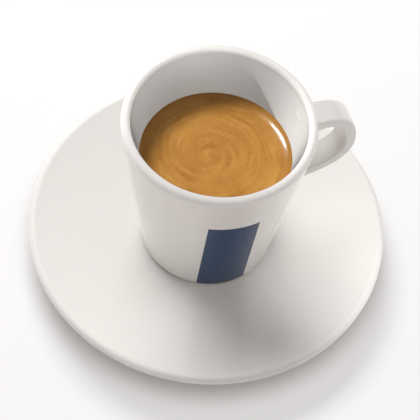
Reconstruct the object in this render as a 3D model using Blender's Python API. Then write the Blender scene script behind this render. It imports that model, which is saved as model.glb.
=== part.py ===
"""An espresso in its porcelain cup, standing on the saucer.

Metres, +Z up. The origin is the middle of the saucer's foot, on the surface that it stands on.
The cup's handle points along +X.
"""
import math

import bmesh
import bpy
from mathutils import Vector

MM = 0.001

# Saucer
SAUCER_RADIUS = 60.0 * MM
SAUCER_HEIGHT = 12.0 * MM
SAUCER_LIP = 1.8 * MM
SAUCER_LIP_START = 107
SAUCER_LIP_END = -60
SAUCER_LIP_EASE = 2.0 * MM
SAUCER_WELL_RADIUS = 26.0 * MM
SAUCER_WELL_HEIGHT = 5.5 * MM
SAUCER_WALL = 3.2 * MM
SAUCER_RISE_POWER = 1.5
SAUCER_FOOT_RADIUS = 32.8 * MM
SAUCER_FOOT_WIDTH = 2.6 * MM
SAUCER_FOOT_DEPTH = 1.6 * MM
SAUCER_FOOT_FLARE = 1.0 * MM

# Cup
CUP_RIM_RADIUS = 30.0 * MM
CUP_TOP = 68.0 * MM
CUP_LIP = 1.5 * MM
CUP_TAPER = 0.13
CUP_BOTTOM = 6.3 * MM
CUP_CORNER = 1.5 * MM
CUP_FOOT_RADIUS = 19.8 * MM
CUP_FOOT_WIDTH = 2.8 * MM
CUP_FOOT_FLARE = 0.3 * MM
CUP_RECESS = 7.0 * MM
CUP_FLOOR = 12.0 * MM
CUP_BOWL_RADIUS = 19.8 * MM
CUP_BOWL_CORNER = 8.0 * MM
CUP_FLARE = 0.32

# Handle, a strap bent into a loop; places are (distance from the cup's axis, height)
HANDLE_TOP_HEIGHT = 57.9 * MM
HANDLE_BOTTOM_HEIGHT = 32.8 * MM
HANDLE_REACH = 44.2 * MM
HANDLE_REACH_HEIGHT = 46.7 * MM
HANDLE_TOP_RISE = math.radians(20.0)
HANDLE_BOTTOM_RISE = math.radians(11.0)
HANDLE_TOP_PULLS = (12.0 * MM, 10.3 * MM)
HANDLE_BOTTOM_PULLS = (9.1 * MM, 9.3 * MM)
HANDLE_SINK = 1.8 * MM
HANDLE_HALF_WIDTH = 4.35 * MM
HANDLE_HALF_THICKNESS = 2.0 * MM
HANDLE_SQUARENESS = 0.75
HANDLE_ROOT_GROWTH = 1.12

# Drink
ESPRESSO_LEVEL = 50.5 * MM
GAP = 0.3 * MM
FOOT_BEVEL = 0.4 * MM

# Facets
TURNS = 72
LIP_STEPS = 8
WALL_STEPS = 6
CORNER_STEPS = 5
HANDLE_STEPS = 15
HANDLE_SIDES = 20
MERGE = 0.001 * MM
SMOOTH_ANGLE = 50.0
SMOOTH_ANGLE_DRINK = 40.0

# Finishes
PORCELAIN_COLOUR = (0.80, 0.79, 0.77)
PORCELAIN_ROUGHNESS = 0.12
PORCELAIN_COAT = 0.5
CREMA_COLOUR = (0.52, 0.26, 0.07)
CREMA_ROUGHNESS = 0.45


def remove_everything():
    for thing in list(bpy.data.objects):
        bpy.data.objects.remove(thing, do_unlink=True)


def material(name, colour, roughness, coat=0.0):
    made = bpy.data.materials.new(name)
    made.use_nodes = True
    shader = made.node_tree.nodes["Principled BSDF"]
    shader.inputs["Base Color"].default_value = (*colour, 1.0)
    shader.inputs["Roughness"].default_value = roughness
    shader.inputs["Metallic"].default_value = 0.0
    shader.inputs["Coat Weight"].default_value = coat
    return made


def arc(centre, radius, start, end, steps):
    """Points (distance from the axis, height) round part of a circle, angles in degrees."""
    points = []
    for step in range(steps + 1):
        angle = math.radians(start + (end - start) * step / steps)
        points.append((centre[0] + radius * math.cos(angle), centre[1] + radius * math.sin(angle)))
    return points


def turned(name, profile):
    """A body turned about Z from a profile that starts and ends on the axis."""
    mesh = bpy.data.meshes.new(name)
    body = bmesh.new()
    corners = [body.verts.new((radius, 0.0, height)) for radius, height in profile]
    edges = [body.edges.new(pair) for pair in zip(corners, corners[1:])]
    bmesh.ops.spin(
        body,
        geom=corners + edges,
        cent=(0, 0, 0),
        axis=(0, 0, 1),
        angle=2 * math.pi,
        steps=TURNS,
        use_merge=True,
    )
    bmesh.ops.remove_doubles(body, verts=body.verts, dist=MERGE)
    bmesh.ops.recalc_face_normals(body, faces=body.faces)
    body.to_mesh(mesh)
    body.free()
    made = bpy.data.objects.new(name, mesh)
    bpy.context.scene.collection.objects.link(made)
    return made


def finish(piece, look, smooth_angle=SMOOTH_ANGLE):
    piece.data.materials.clear()
    piece.data.materials.append(look)
    piece.data.shade_smooth()
    piece.data.set_sharp_from_angle(angle=math.radians(smooth_angle))


def saucer_top_height(radius):
    """Height of the saucer's upper face: a flat well, then a rise that grows steeper to the lip."""
    lip_radius = SAUCER_RADIUS - SAUCER_LIP
    out = max(0.0, (radius - SAUCER_WELL_RADIUS) / (lip_radius - SAUCER_WELL_RADIUS))
    return SAUCER_WELL_HEIGHT + (SAUCER_HEIGHT - SAUCER_WELL_HEIGHT) * out**SAUCER_RISE_POWER


def saucer_profile():
    lip_centre = (SAUCER_RADIUS - SAUCER_LIP, SAUCER_HEIGHT - SAUCER_LIP)
    lip = arc(lip_centre, SAUCER_LIP, SAUCER_LIP_START, SAUCER_LIP_END, LIP_STEPS)
    rise_end = lip[0][0] - SAUCER_LIP_EASE
    points = [(0.0, SAUCER_WELL_HEIGHT)]
    for step in range(WALL_STEPS + 1):
        radius = SAUCER_WELL_RADIUS + (rise_end - SAUCER_WELL_RADIUS) * step / WALL_STEPS
        points.append((radius, saucer_top_height(radius)))
    points += lip
    under_end = SAUCER_FOOT_RADIUS + SAUCER_FOOT_FLARE
    for step in range(1, WALL_STEPS):
        radius = lip[-1][0] + (under_end - lip[-1][0]) * step / (WALL_STEPS - 1)
        points.append((radius, saucer_top_height(radius) - SAUCER_WALL))
    inner_foot = SAUCER_FOOT_RADIUS - SAUCER_FOOT_WIDTH
    points += [
        (SAUCER_FOOT_RADIUS, FOOT_BEVEL),
        (SAUCER_FOOT_RADIUS - FOOT_BEVEL, 0.0),
        (inner_foot + FOOT_BEVEL, 0.0),
        (inner_foot, FOOT_BEVEL),
        (inner_foot - FOOT_BEVEL, SAUCER_FOOT_DEPTH),
        (0.0, SAUCER_FOOT_DEPTH),
    ]
    return points


def cup_outer_radius(height):
    return CUP_RIM_RADIUS - CUP_TAPER * (CUP_TOP - CUP_LIP - height)


def cup_inner_radius(height):
    """The bore widens upwards, and a little faster near the lip, so the wall thins towards it."""
    floor_end = CUP_FLOOR + CUP_BOWL_CORNER
    lip_radius = CUP_RIM_RADIUS - 2 * CUP_LIP
    up = (height - floor_end) / (CUP_TOP - CUP_LIP - floor_end)
    return CUP_BOWL_RADIUS + (lip_radius - CUP_BOWL_RADIUS) * ((1 - CUP_FLARE) * up + CUP_FLARE * up * up)


def bore_points(top, inset=0.0):
    """The inside of the cup from the axis at its floor up to a height, moved in by a gap."""
    corner = (CUP_BOWL_RADIUS - CUP_BOWL_CORNER, CUP_FLOOR + CUP_BOWL_CORNER)
    points = [(0.0, CUP_FLOOR + inset)]
    points += arc(corner, CUP_BOWL_CORNER - inset, -90, 0, CORNER_STEPS)
    for step in range(1, WALL_STEPS + 1):
        height = corner[1] + (top - corner[1]) * step / WALL_STEPS
        points.append((cup_inner_radius(height) - inset, height))
    return points


def cup_profile():
    lip_height = CUP_TOP - CUP_LIP
    lip_centre = (CUP_RIM_RADIUS - CUP_LIP, lip_height)
    corner_height = CUP_BOTTOM + CUP_CORNER
    corner_centre = (cup_outer_radius(corner_height) - CUP_CORNER, corner_height)
    foot_inner = CUP_FOOT_RADIUS - CUP_FOOT_WIDTH
    foot_bottom = SAUCER_WELL_HEIGHT + GAP
    points = bore_points(lip_height)
    points += arc(lip_centre, CUP_LIP, 180, 0, LIP_STEPS)[1:]
    points += arc(corner_centre, CUP_CORNER, 0, -90, CORNER_STEPS)
    points += [
        (CUP_FOOT_RADIUS + CUP_FOOT_FLARE, CUP_BOTTOM),
        (CUP_FOOT_RADIUS, foot_bottom),
        (foot_inner, foot_bottom),
        (foot_inner - FOOT_BEVEL, CUP_RECESS),
        (0.0, CUP_RECESS),
    ]
    return points


def espresso_profile():
    return [(0.0, ESPRESSO_LEVEL)] + bore_points(ESPRESSO_LEVEL, GAP)[::-1]


def handle_section():
    """The strap's cross-section as a closed curve: a rounded rectangle, wide across the loop."""
    curve = bpy.data.curves.new("handle_section", "CURVE")
    curve.dimensions = "2D"
    outline = curve.splines.new("POLY")
    outline.points.add(HANDLE_SIDES - 1)
    for index, point in enumerate(outline.points):
        angle = 2 * math.pi * index / HANDLE_SIDES
        across = math.copysign(abs(math.sin(angle)) ** HANDLE_SQUARENESS, math.sin(angle))
        outward = math.copysign(abs(math.cos(angle)) ** HANDLE_SQUARENESS, math.cos(angle))
        point.co = (HANDLE_HALF_WIDTH * across, HANDLE_HALF_THICKNESS * outward, 0.0, 1.0)
    outline.use_cyclic_u = True
    section = bpy.data.objects.new("handle_section", curve)
    bpy.context.scene.collection.objects.link(section)
    return section


def handle_knots():
    """The loop's Bezier knots in the XZ plane: each a place, and the pull points before and after it."""
    top = Vector((cup_outer_radius(HANDLE_TOP_HEIGHT) - HANDLE_SINK, 0.0, HANDLE_TOP_HEIGHT))
    bottom = Vector((cup_outer_radius(HANDLE_BOTTOM_HEIGHT) - HANDLE_SINK, 0.0, HANDLE_BOTTOM_HEIGHT))
    reach = Vector((HANDLE_REACH, 0.0, HANDLE_REACH_HEIGHT))
    top_pull, reach_up = HANDLE_TOP_PULLS
    reach_down, bottom_pull = HANDLE_BOTTOM_PULLS
    top_way = Vector((math.cos(HANDLE_TOP_RISE), 0.0, math.sin(HANDLE_TOP_RISE)))
    bottom_way = Vector((math.cos(HANDLE_BOTTOM_RISE), 0.0, math.sin(HANDLE_BOTTOM_RISE)))
    up = Vector((0.0, 0.0, 1.0))
    return [
        (top, top - top_way * top_pull, top + top_way * top_pull),
        (reach, reach + up * reach_up, reach - up * reach_down),
        (bottom, bottom + bottom_way * bottom_pull, bottom - bottom_way * bottom_pull),
    ]


def handle_strap():
    """The handle alone, as a mesh: its section swept along the loop."""
    section = handle_section()
    knots = handle_knots()
    curve = bpy.data.curves.new("handle_line", "CURVE")
    curve.dimensions = "3D"
    curve.resolution_u = HANDLE_STEPS
    curve.bevel_mode = "OBJECT"
    curve.bevel_object = section
    curve.use_fill_caps = True
    spline = curve.splines.new("BEZIER")
    spline.bezier_points.add(len(knots) - 1)
    for knot, (place, before, after) in zip(spline.bezier_points, knots):
        knot.handle_left_type = "FREE"
        knot.handle_right_type = "FREE"
        knot.co = place
        knot.handle_left = before
        knot.handle_right = after
    spline.bezier_points[0].radius = HANDLE_ROOT_GROWTH
    spline.bezier_points[-1].radius = HANDLE_ROOT_GROWTH
    line = bpy.data.objects.new("handle_line", curve)
    bpy.context.scene.collection.objects.link(line)

    bpy.context.view_layer.update()
    evaluated = line.evaluated_get(bpy.context.evaluated_depsgraph_get())
    mesh = bpy.data.meshes.new_from_object(evaluated)
    body = bmesh.new()
    body.from_mesh(mesh)
    bmesh.ops.remove_doubles(body, verts=body.verts, dist=MERGE)
    bmesh.ops.recalc_face_normals(body, faces=body.faces)
    body.to_mesh(mesh)
    body.free()
    bpy.data.objects.remove(line, do_unlink=True)
    bpy.data.objects.remove(section, do_unlink=True)
    strap = bpy.data.objects.new("handle", mesh)
    bpy.context.scene.collection.objects.link(strap)
    return strap


def make_saucer(look):
    finish(turned("saucer", saucer_profile()), look)


def make_cup(look):
    """Body and handle are one piece of porcelain, so the strap is joined to the turned body."""
    cup = turned("cup", cup_profile())
    strap = handle_strap()
    union = cup.modifiers.new("join the handle", "BOOLEAN")
    union.operation = "UNION"
    union.object = strap
    bpy.context.view_layer.update()
    evaluated = cup.evaluated_get(bpy.context.evaluated_depsgraph_get())
    joined = bpy.data.meshes.new_from_object(evaluated)
    cup.modifiers.clear()
    cup.data = joined
    bpy.data.objects.remove(strap, do_unlink=True)
    finish(cup, look)


def make_espresso(look):
    finish(turned("espresso", espresso_profile()), look, SMOOTH_ANGLE_DRINK)


remove_everything()
porcelain = material("glazed_porcelain", PORCELAIN_COLOUR, PORCELAIN_ROUGHNESS, PORCELAIN_COAT)
crema = material("crema", CREMA_COLOUR, CREMA_ROUGHNESS)
make_saucer(porcelain)
make_cup(porcelain)
make_espresso(crema)
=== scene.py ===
"""An espresso in its porcelain cup, standing on the saucer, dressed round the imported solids."""
import math

import bpy
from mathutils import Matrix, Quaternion, Vector


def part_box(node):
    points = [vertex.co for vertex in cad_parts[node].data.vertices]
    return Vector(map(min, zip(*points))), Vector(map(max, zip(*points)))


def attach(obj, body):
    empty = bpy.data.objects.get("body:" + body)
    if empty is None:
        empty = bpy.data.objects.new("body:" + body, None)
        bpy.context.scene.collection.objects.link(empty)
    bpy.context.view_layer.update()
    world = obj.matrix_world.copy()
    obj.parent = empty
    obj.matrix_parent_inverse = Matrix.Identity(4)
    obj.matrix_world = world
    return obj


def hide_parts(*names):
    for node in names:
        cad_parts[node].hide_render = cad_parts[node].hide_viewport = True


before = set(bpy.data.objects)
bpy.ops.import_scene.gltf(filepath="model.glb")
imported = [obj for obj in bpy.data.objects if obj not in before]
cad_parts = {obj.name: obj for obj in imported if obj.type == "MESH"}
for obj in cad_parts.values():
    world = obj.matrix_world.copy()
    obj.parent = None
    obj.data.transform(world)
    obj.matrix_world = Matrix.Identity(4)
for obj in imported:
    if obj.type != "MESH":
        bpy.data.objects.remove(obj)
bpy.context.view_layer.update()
bpy.ops.object.select_all(action="DESELECT")
bpy.context.scene.view_settings.view_transform = "Standard"
MM = 0.001

# The camera.
# It looks steeply down at the set from about 38 cm above the table, with the handle to its right, and is
# held a little askew, so the cup leans to the right. Angles are in degrees and the focal length is in pixels.
# The aim's last value is its height above the table, and the others move it across and up the picture.
CAMERA_TURN = -23.6
CAMERA_ELEVATION = 57.14
CAMERA_ROLL = 7.317
CAMERA_DISTANCE = 419.5 * MM
CAMERA_AIM = Vector((0.396, -6.617, 30.0)) * MM
CAMERA_FOCAL = 1287.7
CAMERA_NEAREST = 10.0 * MM
FRAME_PIXELS = 420
SENSOR = 36.0

turn_to_view = Quaternion((0, 0, 1), math.radians(CAMERA_TURN))
sideways = Vector((1, 0, 0))
away = Vector((0, math.cos(math.radians(CAMERA_ELEVATION)), -math.sin(math.radians(CAMERA_ELEVATION))))
upwards = sideways.cross(away)
aim = turn_to_view @ (Vector((0, 0, CAMERA_AIM.z)) + sideways * CAMERA_AIM.x + upwards * CAMERA_AIM.y)
sight = turn_to_view @ away

bpy.ops.object.camera_add(location=aim - sight * CAMERA_DISTANCE)
camera = bpy.context.object
camera.name = "camera"
camera.rotation_mode = "QUATERNION"
camera.rotation_quaternion = sight.to_track_quat("-Z", "Y") @ Quaternion((0, 0, 1), math.radians(CAMERA_ROLL))
camera.data.sensor_width = SENSOR
camera.data.lens = SENSOR * CAMERA_FOCAL / FRAME_PIXELS
camera.data.clip_start = CAMERA_NEAREST
bpy.context.scene.camera = camera

# The studio.
# A white table top in a pale surround, lit by soft boxes high up behind on the left and one low on the right.
# The saucer, the cup, the drink and the table each have lights of their own, so that each shadow can be as
# long and soft as it should. Narrow lamps brighten the cup's inner wall and the saucer beside the shadow.
TABLE_SIZE = 6.0
TABLE_COLOUR = (0.62, 0.62, 0.62, 1)
TABLE_ROUGHNESS = 0.9
TABLE_SHINE = 0.1
LIGHT_DISTANCE = 1.2
SOFT_BOXES = {
    "saucer": {
        "key": {"turn": 33, "elevation": 49, "width": 48, "height": 48, "power": 16.8},
    },
    "cup": {
        "key": {"turn": 33, "elevation": 66, "width": 30, "height": 30, "power": 7.8},
        "side": {"turn": -80, "elevation": 18, "width": 30, "height": 30, "power": 1.8},
    },
    "drink": {
        "key": {"turn": 48, "elevation": 60, "width": 14, "height": 14, "power": 18},
        "gleam": {"turn": 47, "elevation": 59, "width": 6, "height": 15, "power": 16},
    },
    "table": {
        "key": {"turn": 24, "elevation": 39, "width": 38, "height": 16, "power": 11},
    },
}
BEAM_LAMP_RADIUS = 12.0 * MM
BEAMS = {
    "cup": {
        "right_wall": {"turn": 78, "elevation": 27, "aim": (26, -1, 52), "width": 60, "power": 64},
        "left_wall": {"turn": -95, "elevation": 28, "aim": (-26, 4, 56), "width": 42, "power": 10},
        "back_wall": {"turn": 175, "elevation": 25, "aim": (-8, 27, 68), "width": 42, "power": 20},
    },
    "saucer": {
        "right_rise": {"turn": -100, "elevation": 60, "aim": (49, -16, 9), "width": 66, "power": 36},
        "front_well": {"turn": 140, "elevation": 62, "aim": (-7, -37, 7), "width": 36, "power": 17},
    },
}
TABLE_FILL_STRENGTH = 1.85
TABLE_FILL_WIDTH = 60.0
GROUND_LIGHT = (0.950, 0.885, 0.872, 1)
HORIZON_LIGHT = (0.950, 0.935, 0.930, 1)
LOW_LIGHT = (0.120, 0.116, 0.114, 1)
ZENITH_LIGHT = (0.740, 0.708, 0.697, 1)
SURROUND_BANDS = [
    {"rise": -0.02, "light": GROUND_LIGHT},
    {"rise": 0.01, "light": HORIZON_LIGHT},
    {"rise": 0.18, "light": HORIZON_LIGHT},
    {"rise": 0.24, "light": LOW_LIGHT},
    {"rise": 1.0, "light": ZENITH_LIGHT},
]


def from_view(turn, elevation, distance):
    """A place seen from the set, in the camera's frame: a turn of 0 is straight behind and 90 is the left."""
    flat = math.cos(math.radians(elevation))
    way = Vector((-math.sin(math.radians(turn)) * flat, math.cos(math.radians(turn)) * flat, 0))
    way.z = math.sin(math.radians(elevation))
    return turn_to_view @ way * distance


def soft_light(name, turn, elevation, width, height, power):
    """A soft light whose width and height are the angles, in degrees, that it takes up as the set sees it."""
    place = from_view(turn, elevation, LIGHT_DISTANCE)
    bpy.ops.object.light_add(type="AREA", location=place)
    light = bpy.context.object
    light.name = name
    light.rotation_mode = "QUATERNION"
    light.rotation_quaternion = (-place).to_track_quat("-Z", "Y")
    light.data.shape = "ELLIPSE"
    light.data.size = 2 * LIGHT_DISTANCE * math.tan(math.radians(width / 2))
    light.data.size_y = 2 * LIGHT_DISTANCE * math.tan(math.radians(height / 2))
    light.data.energy = power
    return light


def narrow_beam(name, turn, elevation, aim, width, power):
    """A lamp that meets only a round patch, its middle and width in millimetres in the camera's own frame."""
    target = turn_to_view @ Vector(aim) * MM
    place = target + from_view(turn, elevation, LIGHT_DISTANCE)
    bpy.ops.object.light_add(type="SPOT", location=place)
    lamp = bpy.context.object
    lamp.name = name
    lamp.rotation_mode = "QUATERNION"
    lamp.rotation_quaternion = (target - place).to_track_quat("-Z", "Y")
    lamp.data.spot_size = 2 * math.atan(width * MM / 2 / LIGHT_DISTANCE)
    lamp.data.spot_blend = 1.0
    lamp.data.shadow_soft_size = BEAM_LAMP_RADIUS
    lamp.data.energy = power
    return lamp


bpy.ops.mesh.primitive_plane_add(size=TABLE_SIZE)
table = bpy.context.object
table.name = "table_top"
table_finish = bpy.data.materials.new("table_white")
table_finish.use_nodes = True
table_shader = table_finish.node_tree.nodes["Principled BSDF"]
table_shader.inputs["Base Color"].default_value = TABLE_COLOUR
table_shader.inputs["Roughness"].default_value = TABLE_ROUGHNESS
table_shader.inputs["Specular IOR Level"].default_value = TABLE_SHINE
table.data.materials.append(table_finish)
# The table throws no light up onto the set. The surround's ground light does that more evenly.
table.visible_diffuse = False

lit = {thing: bpy.data.collections.new("lit_" + thing) for thing in SOFT_BOXES}
lights = {}
for make, groups in ((soft_light, SOFT_BOXES), (narrow_beam, BEAMS)):
    for thing, group in groups.items():
        for name, settings in group.items():
            light = make(thing + "_" + name, **settings)
            light.light_linking.receiver_collection = lit[thing]
            light.visible_glossy = False
            lights[light.name] = light
# Of the lights, the drink mirrors only the gleam, which lights nothing else.
lights["drink_gleam"].visible_glossy = True
lights["drink_gleam"].visible_diffuse = False
# Only the saucer shades the table.
shades_table = bpy.data.collections.new("shades_the_table")
lights["table_key"].visible_glossy = True
lights["table_key"].light_linking.blocker_collection = shades_table
# An even light from straight above keeps the table as pale far away as it is near.
bpy.ops.object.light_add(type="SUN", location=(0, 0, LIGHT_DISTANCE))
table_fill = bpy.context.object
table_fill.name = "table_fill"
table_fill.data.energy = TABLE_FILL_STRENGTH
table_fill.data.angle = math.radians(TABLE_FILL_WIDTH)
table_fill.light_linking.receiver_collection = lit["table"]
table_fill.light_linking.blocker_collection = bpy.data.collections.new("nothing_shades_the_fill")
lit["table"].objects.link(table)

world = bpy.context.scene.world or bpy.data.worlds.new("surround")
bpy.context.scene.world = world
world.use_nodes = True
surround = world.node_tree.nodes["Background"]
direction = world.node_tree.nodes.new("ShaderNodeTexCoord")
split = world.node_tree.nodes.new("ShaderNodeSeparateXYZ")
strength = world.node_tree.nodes.new("ShaderNodeValToRGB")
while len(strength.color_ramp.elements) < len(SURROUND_BANDS):
    strength.color_ramp.elements.new(1.0)
# A band's rise goes from -1, straight down, to 1, straight up, and its place on the ramp from 0 to 1.
for stop, band in zip(strength.color_ramp.elements, SURROUND_BANDS):
    stop.position = (band["rise"] + 1) / 2
    stop.color = band["light"]
half = world.node_tree.nodes.new("ShaderNodeMapRange")
half.inputs["From Min"].default_value = -1.0
world.node_tree.links.new(direction.outputs["Generated"], split.inputs["Vector"])
world.node_tree.links.new(split.outputs["Z"], half.inputs["Value"])
world.node_tree.links.new(half.outputs["Result"], strength.inputs["Fac"])
world.node_tree.links.new(strength.outputs["Color"], surround.inputs["Color"])
surround.inputs["Strength"].default_value = 1.0

# The saucer.
# White porcelain, pressed in a mould with a flat well, a rising rim and a rounded lip, glazed all over but
# for the ring that it stands on.
_, saucer_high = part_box("saucer")
SAUCER_RADIUS = saucer_high.x
SAUCER_HEIGHT = saucer_high.z
SAUCER_LIP = 1.8 * MM
SAUCER_LIP_START = 107
SAUCER_LIP_END = -60
SAUCER_LIP_EASE = 1.0 * MM
SAUCER_WELL_RADIUS = 26.0 * MM
SAUCER_WELL_HEIGHT = 5.5 * MM
SAUCER_WELL_RINGS = (0.0, 12.0 * MM, 20.0 * MM)
SAUCER_WALL = 3.2 * MM
SAUCER_RISE_POWER = 1.5
SAUCER_RISE_STEPS = 24
SAUCER_FOOT_RADIUS = 32.8 * MM
SAUCER_FOOT_WIDTH = 2.6 * MM
SAUCER_FOOT_DEPTH = 1.6 * MM
SAUCER_FOOT_FLARE = 1.0 * MM
SAUCER_UNDER_STEPS = 16
SAUCER_UNDER_RINGS = (15.0 * MM, 0.0)
SAUCER_BARE_HEIGHT = 0.45 * MM
FOOT_ROUND = 0.5 * MM
FOOT_STEPS = 4
LIP_STEPS = 20
ROUND_SIDES = 160
SHARP_ANGLE = math.radians(40)
SAME_PLACE = 0.002 * MM
PORCELAIN_COLOURS = ((0.700, 0.680, 0.652, 1), (0.722, 0.703, 0.676, 1))
PORCELAIN_CLOUDS = 45.0
PORCELAIN_SHINE = 0.12
BARE_COLOURS = ((0.47, 0.44, 0.39, 1), (0.56, 0.53, 0.48, 1))
BARE_SPECKS = 900.0
BARE_ROUGHNESS = 0.62
GLAZED_ROUGHNESS = 0.10
GLAZE_ROUGHNESS = 0.04
GLAZE_EDGE = 0.15 * MM
PORCELAIN_RIPPLES = 110.0
PORCELAIN_GRAIN = 2600.0
PORCELAIN_RELIEF = 0.03 * MM
RIPPLE_SHARE = 0.6
BARE_GRAIN_SHARE = 0.8
GLAZED_GRAIN_SHARE = 0.012


class Wire:
    """One output of a finish's nodes. Sums on it add the nodes that work them out."""

    tree = None

    def __init__(self, socket):
        self.socket = socket

    @classmethod
    def node(cls, kind, settings=None, sockets=None, output=0):
        """Any node: its settings come first, then the values or links of its sockets."""
        made = cls.tree.nodes.new(kind)
        for name, value in (settings or {}).items():
            if name == "stops":
                for stop, (place, colour) in zip(cls.stops(made, len(value)), value):
                    stop.position = place
                    stop.color = colour
            else:
                setattr(made, name, value)
        for key, value in (sockets or {}).items():
            if isinstance(value, Wire):
                cls.tree.links.new(value.socket, made.inputs[key])
            else:
                made.inputs[key].default_value = value
        return cls(made.outputs[output])

    @staticmethod
    def stops(ramp, count):
        while len(ramp.color_ramp.elements) < count:
            ramp.color_ramp.elements.new(1.0)
        return ramp.color_ramp.elements

    @classmethod
    def maths(cls, operation, *values):
        return cls.node("ShaderNodeMath", {"operation": operation}, dict(enumerate(values)))

    def __add__(self, other):
        return self.maths("ADD", self, other)

    __radd__ = __add__

    def __sub__(self, other):
        return self.maths("SUBTRACT", self, other)

    def __rsub__(self, other):
        return self.maths("SUBTRACT", other, self)

    def __mul__(self, other):
        return self.maths("MULTIPLY", self, other)

    __rmul__ = __mul__

    def __truediv__(self, other):
        return self.maths("DIVIDE", self, other)

    def step(self, start, end):
        """0 before start, 1 after end, with a soft change between them."""
        settings = {"interpolation_type": "SMOOTHSTEP"}
        return self.node("ShaderNodeMapRange", settings, {"Value": self, "From Min": start, "From Max": end})

    def noise(self, scale, detail=2.0, roughness=0.5):
        """Smooth noise from 0 to 1, read at this vector."""
        sockets = {"Vector": self, "Scale": scale, "Detail": detail, "Roughness": roughness}
        return self.node("ShaderNodeTexNoise", {}, sockets)

    def mix(self, first, second):
        """The first colour where this is 0, the second where it is 1."""
        sockets = {"Factor": self, "A": first, "B": second}
        return self.node("ShaderNodeMix", {"data_type": "RGBA"}, sockets, "Result")


def new_finish(name):
    """A material, its shader, and wires for a point's place on the piece: the vector, x, y and z."""
    finish = bpy.data.materials.new(name)
    finish.use_nodes = True
    Wire.tree = finish.node_tree
    shader = finish.node_tree.nodes["Principled BSDF"]
    place = Wire.node("ShaderNodeTexCoord", output="Object")
    parts = Wire.node("ShaderNodeSeparateXYZ", {}, {"Vector": place})
    node = parts.socket.node
    return finish, shader, place, [Wire(node.outputs[axis]) for axis in "XYZ"]


def feed(shader, name, wire):
    Wire.tree.links.new(wire.socket, shader.inputs[name])


def bumps(shader, height, distance):
    """Fine relief in a finish, as high as the distance in metres where the height is 1."""
    relief = Wire.node("ShaderNodeBump", {}, {"Strength": 1.0, "Distance": distance, "Height": height})
    feed(shader, "Normal", relief)


def arc(centre, radius, start, end, steps):
    """Points (distance from the axis, height) round part of a circle, angles in degrees."""
    points = []
    for step in range(steps + 1):
        angle = math.radians(start + (end - start) * step / steps)
        points.append((centre[0] + radius * math.cos(angle), centre[1] + radius * math.sin(angle)))
    return points


def spun(name, outline, sides=ROUND_SIDES):
    """A turned form: half its section is drawn point by point, then spun round the upright axis."""
    bpy.ops.object.select_all(action="DESELECT")
    bpy.ops.mesh.primitive_plane_add(size=MM, location=(outline[0][0], 0, outline[0][1]))
    piece = bpy.context.object
    piece.name = name
    bpy.ops.object.transform_apply(location=True, rotation=False, scale=False)
    bpy.ops.object.mode_set(mode="EDIT")
    bpy.ops.mesh.select_all(action="SELECT")
    bpy.ops.mesh.merge(type="CENTER")
    for before, after in zip(outline, outline[1:]):
        step = (after[0] - before[0], 0, after[1] - before[1])
        bpy.ops.mesh.extrude_vertices_move(TRANSFORM_OT_translate={"value": step})
    bpy.ops.mesh.select_all(action="SELECT")
    bpy.ops.mesh.spin(steps=sides, angle=math.tau, center=(0, 0, 0), axis=(0, 0, 1))
    bpy.ops.mesh.select_all(action="SELECT")
    bpy.ops.mesh.remove_doubles(threshold=SAME_PLACE)
    bpy.ops.mesh.normals_make_consistent(inside=False)
    bpy.ops.object.mode_set(mode="OBJECT")
    bpy.ops.object.shade_smooth_by_angle(angle=SHARP_ANGLE)
    return piece


def saucer_top(radius):
    """Height of the saucer's upper face: a flat well, then a rise that grows steeper to the lip."""
    out = max(0.0, (radius - SAUCER_WELL_RADIUS) / (SAUCER_RADIUS - SAUCER_LIP - SAUCER_WELL_RADIUS))
    return SAUCER_WELL_HEIGHT + (SAUCER_HEIGHT - SAUCER_WELL_HEIGHT) * out**SAUCER_RISE_POWER


def saucer_outline():
    lip_centre = (SAUCER_RADIUS - SAUCER_LIP, SAUCER_HEIGHT - SAUCER_LIP)
    lip = arc(lip_centre, SAUCER_LIP, SAUCER_LIP_START, SAUCER_LIP_END, LIP_STEPS)
    rise_end = lip[0][0] - SAUCER_LIP_EASE
    points = [(radius, SAUCER_WELL_HEIGHT) for radius in SAUCER_WELL_RINGS]
    for step in range(SAUCER_RISE_STEPS + 1):
        radius = SAUCER_WELL_RADIUS + (rise_end - SAUCER_WELL_RADIUS) * step / SAUCER_RISE_STEPS
        points.append((radius, saucer_top(radius)))
    points += lip
    under_end = SAUCER_FOOT_RADIUS + SAUCER_FOOT_FLARE
    for step in range(1, SAUCER_UNDER_STEPS + 1):
        radius = lip[-1][0] + (under_end - lip[-1][0]) * step / SAUCER_UNDER_STEPS
        points.append((radius, saucer_top(radius) - SAUCER_WALL))
    inner_foot = SAUCER_FOOT_RADIUS - SAUCER_FOOT_WIDTH
    points += arc((SAUCER_FOOT_RADIUS - FOOT_ROUND, FOOT_ROUND), FOOT_ROUND, 0, -90, FOOT_STEPS)
    points += arc((inner_foot + FOOT_ROUND, FOOT_ROUND), FOOT_ROUND, -90, -180, FOOT_STEPS)
    under = (inner_foot - FOOT_ROUND, *SAUCER_UNDER_RINGS)
    return points + [(radius, SAUCER_FOOT_DEPTH) for radius in under]


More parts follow.
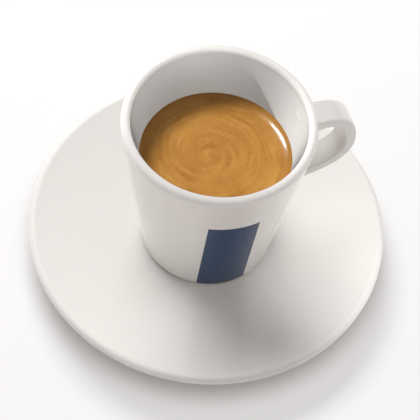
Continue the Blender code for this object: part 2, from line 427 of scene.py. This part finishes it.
def porcelain(name, foot_height, panel=False):
    """White porcelain under a clear glaze, bare and rough on the foot, below a height."""
    finish, shader, place, (x, y, z) = new_finish(name)
    glazed = z.step(foot_height - GLAZE_EDGE, foot_height + GLAZE_EDGE)
    body = place.noise(PORCELAIN_CLOUDS, detail=3.0).mix(*PORCELAIN_COLOURS)
    bare = place.noise(BARE_SPECKS, detail=4.0).mix(*BARE_COLOURS)
    colour = glazed.mix(bare, body)
    coat = glazed
    if panel:
        printed = panel_mask(x, y, z)
        colour = printed.mix(colour, PANEL_COLOUR)
        coat = glazed * (1 - printed * PANEL_DULLS_GLAZE)
    feed(shader, "Base Color", colour)
    feed(shader, "Roughness", BARE_ROUGHNESS - glazed * (BARE_ROUGHNESS - GLAZED_ROUGHNESS))
    feed(shader, "Coat Weight", coat)
    shader.inputs["Coat Roughness"].default_value = GLAZE_ROUGHNESS
    shader.inputs["Specular IOR Level"].default_value = PORCELAIN_SHINE
    ripple = place.noise(PORCELAIN_RIPPLES, detail=2.0)
    grain = place.noise(PORCELAIN_GRAIN, detail=3.0)
    height = ripple * RIPPLE_SHARE + grain * (1 - glazed) * BARE_GRAIN_SHARE + grain * GLAZED_GRAIN_SHARE
    bumps(shader, height, PORCELAIN_RELIEF)
    return finish


saucer = spun("saucer_body", saucer_outline())
saucer.data.materials.append(porcelain("saucer_porcelain", SAUCER_BARE_HEIGHT))
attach(saucer, "root")
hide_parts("saucer")
lit["saucer"].objects.link(saucer)
shades_table.objects.link(saucer)

# The cup.
# The same porcelain, cast as a straight taper with a rounded lip, a low foot ring and a thick floor. A plain
# dark-blue panel is fired onto its front, from the bottom edge to about seven tenths of its height.
cup_low, cup_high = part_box("cup")
CUP_RIM_RADIUS = -cup_low.x
CUP_TOP = cup_high.z
CUP_LIP = 1.5 * MM
CUP_TAPER = 0.13
CUP_BOTTOM = 6.3 * MM
CUP_CORNER = 1.5 * MM
CUP_FOOT_RADIUS = 19.8 * MM
CUP_FOOT_WIDTH = 2.8 * MM
CUP_FOOT_EDGE = 0.3 * MM
CUP_FOOT_SLOPE = 0.4 * MM
CUP_RECESS = 7.0 * MM
CUP_RECESS_RING = 8.0 * MM
CUP_FLOOR = 12.0 * MM
CUP_FLOOR_RING = 6.0 * MM
CUP_BOWL_RADIUS = 19.8 * MM
CUP_BOWL_CORNER = 8.0 * MM
CUP_BOWL_STEPS = 12
CUP_CORNER_STEPS = 8
CUP_WALL_STEPS = 24
CUP_FLARE = 0.32
CUP_BARE_HEIGHT = 0.35 * MM
PANEL_TURN = -95.5
PANEL_WIDTH = 16.3 * MM
PANEL_BOTTOM = 7.2 * MM
PANEL_TOP = 50.3 * MM
PANEL_COLOUR = (0.009, 0.039, 0.108, 1)
PANEL_EDGE = 0.06 * MM
PANEL_DEPTH = 1.0 * MM
PANEL_DULLS_GLAZE = 0.75


def cup_outside(height):
    return CUP_RIM_RADIUS - CUP_TAPER * (CUP_TOP - CUP_LIP - height)


def cup_inside(height):
    """The bore widens upwards, and a little faster near the lip, so the wall thins towards it."""
    floor_end = CUP_FLOOR + CUP_BOWL_CORNER
    lip_radius = CUP_RIM_RADIUS - 2 * CUP_LIP
    up = (height - floor_end) / (CUP_TOP - CUP_LIP - floor_end)
    return CUP_BOWL_RADIUS + (lip_radius - CUP_BOWL_RADIUS) * ((1 - CUP_FLARE) * up + CUP_FLARE * up * up)


def cup_outline():
    lip_height = CUP_TOP - CUP_LIP
    corner_height = CUP_BOTTOM + CUP_CORNER
    corner_centre = (cup_outside(corner_height) - CUP_CORNER, corner_height)
    foot_inner = CUP_FOOT_RADIUS - CUP_FOOT_WIDTH
    foot_bottom = cup_low.z
    bowl = (CUP_BOWL_RADIUS - CUP_BOWL_CORNER, CUP_FLOOR + CUP_BOWL_CORNER)
    points = [(0.0, CUP_FLOOR), (CUP_FLOOR_RING, CUP_FLOOR)]
    points += arc(bowl, CUP_BOWL_CORNER, -90, 0, CUP_BOWL_STEPS)
    for step in range(1, CUP_WALL_STEPS + 1):
        height = bowl[1] + (lip_height - bowl[1]) * step / CUP_WALL_STEPS
        points.append((cup_inside(height), height))
    points += arc((CUP_RIM_RADIUS - CUP_LIP, lip_height), CUP_LIP, 180, 0, LIP_STEPS)[1:]
    for step in range(1, CUP_WALL_STEPS + 1):
        height = lip_height + (corner_height - lip_height) * step / CUP_WALL_STEPS
        points.append((cup_outside(height), height))
    points += arc(corner_centre, CUP_CORNER, 0, -90, CUP_CORNER_STEPS)[1:]
    points += [(CUP_FOOT_RADIUS + CUP_FOOT_EDGE, CUP_BOTTOM)]
    points += [(CUP_FOOT_RADIUS, foot_bottom), (foot_inner, foot_bottom)]
    points += [(foot_inner - CUP_FOOT_SLOPE, CUP_RECESS), (CUP_RECESS_RING, CUP_RECESS), (0.0, CUP_RECESS)]
    return points


def panel_mask(x, y, z):
    """1 on the panel: an upright band of one width on the outer wall's front, between two heights."""
    angle = math.radians(PANEL_TURN)
    along = y * math.cos(angle) - x * math.sin(angle)
    front = (x * math.cos(angle) + y * math.sin(angle)).step(0.0, PANEL_DEPTH)
    reach = Wire.maths("ABSOLUTE", along)
    radius = Wire.maths("SQRT", x * x + y * y)
    span = Wire.maths("ARCSINE", reach / radius) * radius
    sides = 1 - span.step(PANEL_WIDTH / 2 - PANEL_EDGE, PANEL_WIDTH / 2 + PANEL_EDGE)
    heights = z.step(PANEL_BOTTOM - PANEL_EDGE, PANEL_BOTTOM + PANEL_EDGE)
    heights = heights * (1 - z.step(PANEL_TOP - PANEL_EDGE, PANEL_TOP + PANEL_EDGE))
    narrowest = cup_outside(CUP_BOTTOM)
    outside = radius.step(narrowest - 2 * PANEL_DEPTH, narrowest - PANEL_DEPTH)
    return sides * heights * front * outside


cup = spun("cup_body", cup_outline())

# The handle.
# A flat strap of the same porcelain, pressed, bent into a loop and stuck on with slip while the clay was
# soft, so it swells a little where it meets the wall. It is one piece with the cup.
HANDLE_TOP_HEIGHT = 57.9 * MM
HANDLE_BOTTOM_HEIGHT = 32.8 * MM
HANDLE_REACH = 44.2 * MM
HANDLE_REACH_HEIGHT = 46.7 * MM
HANDLE_TOP_RISE = math.radians(20.0)
HANDLE_BOTTOM_RISE = math.radians(11.0)
HANDLE_TOP_PULLS = (12.0 * MM, 10.3 * MM)
HANDLE_BOTTOM_PULLS = (9.1 * MM, 9.3 * MM)
HANDLE_SINK = 1.8 * MM
HANDLE_WIDTH = 8.7 * MM
HANDLE_THICKNESS = 4.0 * MM
HANDLE_ROUND = 1.5 * MM
HANDLE_ROUND_STEPS = 6
HANDLE_STEPS = 30
HANDLE_SWELL = 1.7 * MM
HANDLE_SWELL_REACH = 1.1 * MM


def bezier(points, part):
    """A point on a cubic Bezier curve, from 0 to 1, and the way the curve goes there."""
    a, b, c, d = points
    rest = 1 - part
    place = a * rest**3 + b * 3 * rest**2 * part + c * 3 * rest * part**2 + d * part**3
    way = (b - a) * rest**2 + (c - b) * 2 * rest * part + (d - c) * part**2
    return place, way.normalized()


def handle_line():
    """Places and ways along the strap's middle, from the upper root to the lower one."""
    top = Vector((cup_outside(HANDLE_TOP_HEIGHT) - HANDLE_SINK, 0, HANDLE_TOP_HEIGHT))
    bottom = Vector((cup_outside(HANDLE_BOTTOM_HEIGHT) - HANDLE_SINK, 0, HANDLE_BOTTOM_HEIGHT))
    reach = Vector((HANDLE_REACH, 0, HANDLE_REACH_HEIGHT))
    top_way = Vector((math.cos(HANDLE_TOP_RISE), 0, math.sin(HANDLE_TOP_RISE)))
    bottom_way = Vector((math.cos(HANDLE_BOTTOM_RISE), 0, math.sin(HANDLE_BOTTOM_RISE)))
    up = Vector((0, 0, 1))
    upper = (top, top + top_way * HANDLE_TOP_PULLS[0], reach + up * HANDLE_TOP_PULLS[1], reach)
    lower = (reach, reach - up * HANDLE_BOTTOM_PULLS[0], bottom + bottom_way * HANDLE_BOTTOM_PULLS[1], bottom)
    line = [bezier(upper, step / HANDLE_STEPS) for step in range(HANDLE_STEPS)]
    return line + [bezier(lower, step / HANDLE_STEPS) for step in range(HANDLE_STEPS + 1)]


def section_size(place):
    """The strap's thickness and width at a place, a little more close to the cup's wall."""
    clear = max(0.0, place.x - cup_outside(place.z))
    swell = 2 * HANDLE_SWELL * math.exp(-clear / HANDLE_SWELL_REACH)
    return HANDLE_THICKNESS + swell, HANDLE_WIDTH + swell


def turn_about_y(angle, centre):
    """Turns what is selected. With no window the operator turns the other way, so its angle is reversed."""
    bpy.ops.transform.rotate(value=-angle, orient_axis="Y", center_override=centre)


line = handle_line()
bpy.ops.object.select_all(action="DESELECT")
bpy.ops.mesh.primitive_plane_add(size=1)
handle = bpy.context.object
handle.name = "cup_handle"
bpy.ops.object.mode_set(mode="EDIT")
bpy.ops.mesh.select_all(action="SELECT")
thickness, width = section_size(line[0][0])
bpy.ops.transform.resize(value=(thickness, width, 1), center_override=(0, 0, 0))
bpy.ops.mesh.bevel(offset=HANDLE_ROUND, segments=HANDLE_ROUND_STEPS, affect="VERTICES")
bpy.ops.mesh.select_all(action="SELECT")
tilt = math.atan2(line[0][1].x, line[0][1].z)
turn_about_y(tilt, (0, 0, 0))
bpy.ops.transform.translate(value=line[0][0])
for (before, _), (place, way) in zip(line, line[1:]):
    bpy.ops.mesh.extrude_region_move(TRANSFORM_OT_translate={"value": place - before})
    turn_about_y(math.atan2(way.x, way.z) - tilt, place)
    tilt = math.atan2(way.x, way.z)
    grown = section_size(place)
    along = Vector((math.cos(tilt), 0, -math.sin(tilt)))
    change = grown[0] / thickness
    bpy.ops.transform.resize(
        value=(change, grown[1] / width, 1),
        orient_matrix=(along, (0, 1, 0), way),
        orient_matrix_type="GLOBAL",
        center_override=place,
    )
    thickness, width = grown
bpy.ops.mesh.select_all(action="SELECT")
bpy.ops.mesh.normals_make_consistent(inside=False)
bpy.ops.object.mode_set(mode="OBJECT")

join = cup.modifiers.new("stick the handle on", "BOOLEAN")
join.operation = "UNION"
join.object = handle
bpy.ops.object.select_all(action="DESELECT")
cup.select_set(True)
bpy.context.view_layer.objects.active = cup
bpy.ops.object.modifier_apply(modifier=join.name)
bpy.data.objects.remove(handle, do_unlink=True)
bpy.ops.object.shade_smooth_by_angle(angle=SHARP_ANGLE)
cup.data.materials.clear()
cup.data.materials.append(porcelain("cup_porcelain", cup_low.z + CUP_BARE_HEIGHT, panel=True))
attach(cup, "root")
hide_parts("cup")
lit["cup"].objects.link(cup)

# The espresso.
# Black coffee under a layer of hazelnut-brown crema, which climbs a little up the wall of the cup. The pour
# has turned it, so paler and darker foam lie in a loose spiral round a point near the middle.
_, espresso_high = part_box("espresso")
DRINK_LEVEL = espresso_high.z
DRINK_DIP = 1.6 * MM
DRINK_CLIMB = 2.7 * MM
DRINK_INTO_WALL = 0.12 * MM
DRINK_TOP_STEPS = 48
DRINK_SIDE_STEPS = 12
DRINK_BOTTOM_STEPS = 8
SWIRL_CENTRE = (-2.3 * MM, 1.9 * MM)
SWIRL_TURN = 1.35
SWIRL_SPACING = 2.9 * MM
SWIRL_DRIFT = 5.0 * MM
SWIRL_DRIFT_SCALES = (75.0, 82.0)
SWIRL_EYE = (0.3 * MM, 1.5 * MM)
EYE_TONE = 0.09
STREAKS_FAINT = 0.2
STREAKS_DRAWN_OUT = 0.45
STREAKS_PATCH_SCALE = 60.0
STREAKS_PATCH_EDGE = (0.36, 0.62)
STREAKS_SHARE = 0.6
FROTH_SCALE = 900.0
FROTH_TONE = 0.2
FROTH_ROUGHNESS = 0.10
FROTH_SHARE = 0.4
CREMA_CLOUD_SCALE = 110.0
CREMA_CLOUD_TONE = 0.35
CREMA_ROUGHNESS = 0.10
CREMA_RELIEF = 0.03 * MM
CREMA_SHINE = 0.15
CREMA_DARK = (0.242, 0.103, 0.018, 1)
CREMA_MIDDLE = (0.296, 0.138, 0.028, 1)
CREMA_LIGHT = (0.350, 0.175, 0.041, 1)
CREMA_STOPS = [(0.38, CREMA_DARK), (0.5, CREMA_MIDDLE), (0.62, CREMA_LIGHT)]


def drink_outline():
    """Out along the surface, then down and in again, reaching just into the cup's wall and floor."""
    edge = cup_inside(DRINK_LEVEL)
    points = []
    for step in range(DRINK_TOP_STEPS + 1):
        radius = edge * math.sin(math.pi / 2 * step / DRINK_TOP_STEPS)
        points.append((radius, DRINK_LEVEL - DRINK_DIP * (1 - math.exp((radius - edge) / DRINK_CLIMB))))
    bowl = (CUP_BOWL_RADIUS - CUP_BOWL_CORNER, CUP_FLOOR + CUP_BOWL_CORNER)
    for step in range(DRINK_SIDE_STEPS + 1):
        height = DRINK_LEVEL + (bowl[1] - DRINK_LEVEL) * step / DRINK_SIDE_STEPS
        points.append((cup_inside(height) + DRINK_INTO_WALL, height))
    points += arc(bowl, CUP_BOWL_CORNER + DRINK_INTO_WALL, 0, -90, DRINK_BOTTOM_STEPS)[1:]
    return points + [(0.0, CUP_FLOOR - DRINK_INTO_WALL)]


def crema():
    """The foam's finish: streaks drawn out into a spiral, fine mottling and a wet sheen."""
    finish, shader, place, (x, y, _) = new_finish("crema")
    across, along = [
        axis - middle + (place.noise(scale, detail=2.0) - 0.5) * SWIRL_DRIFT
        for axis, middle, scale in zip((x, y), SWIRL_CENTRE, SWIRL_DRIFT_SCALES)
    ]
    radius = Wire.maths("SQRT", across * across + along * along)
    turned = Wire.maths("ARCTAN2", along, across) + radius * (SWIRL_TURN / SWIRL_SPACING)
    place_on_spiral = {
        "X": Wire.maths("COSINE", turned),
        "Y": Wire.maths("SINE", turned),
        "Z": radius / SWIRL_SPACING,
    }
    spiral = Wire.node("ShaderNodeCombineXYZ", {}, place_on_spiral)
    streaks = spiral.noise(1.0, detail=4.0, roughness=0.58)
    froth = place.noise(FROTH_SCALE, detail=3.0, roughness=0.6)
    cloud = place.noise(CREMA_CLOUD_SCALE, detail=3.0)
    drawn_out = place.noise(STREAKS_PATCH_SCALE, detail=1.0).step(*STREAKS_PATCH_EDGE)
    eye = 1 - radius.step(*SWIRL_EYE)
    tone = 0.5 + (streaks - 0.5) * (drawn_out * STREAKS_DRAWN_OUT + STREAKS_FAINT)
    tone = tone + (froth - 0.5) * FROTH_TONE + (cloud - 0.5) * CREMA_CLOUD_TONE + eye * EYE_TONE
    feed(shader, "Base Color", Wire.node("ShaderNodeValToRGB", {"stops": CREMA_STOPS}, {"Fac": tone}))
    feed(shader, "Roughness", CREMA_ROUGHNESS + froth * FROTH_ROUGHNESS)
    shader.inputs["Specular IOR Level"].default_value = CREMA_SHINE
    bumps(shader, streaks * STREAKS_SHARE + froth * FROTH_SHARE, CREMA_RELIEF)
    return finish


drink = spun("espresso_drink", drink_outline())
drink.data.materials.append(crema())
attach(drink, "root")
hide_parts("espresso")
lit["drink"].objects.link(drink)
# The drink throws no brown light onto the cup's wall, and isn't mirrored in its glaze.
drink.visible_diffuse = False
drink.visible_glossy = False
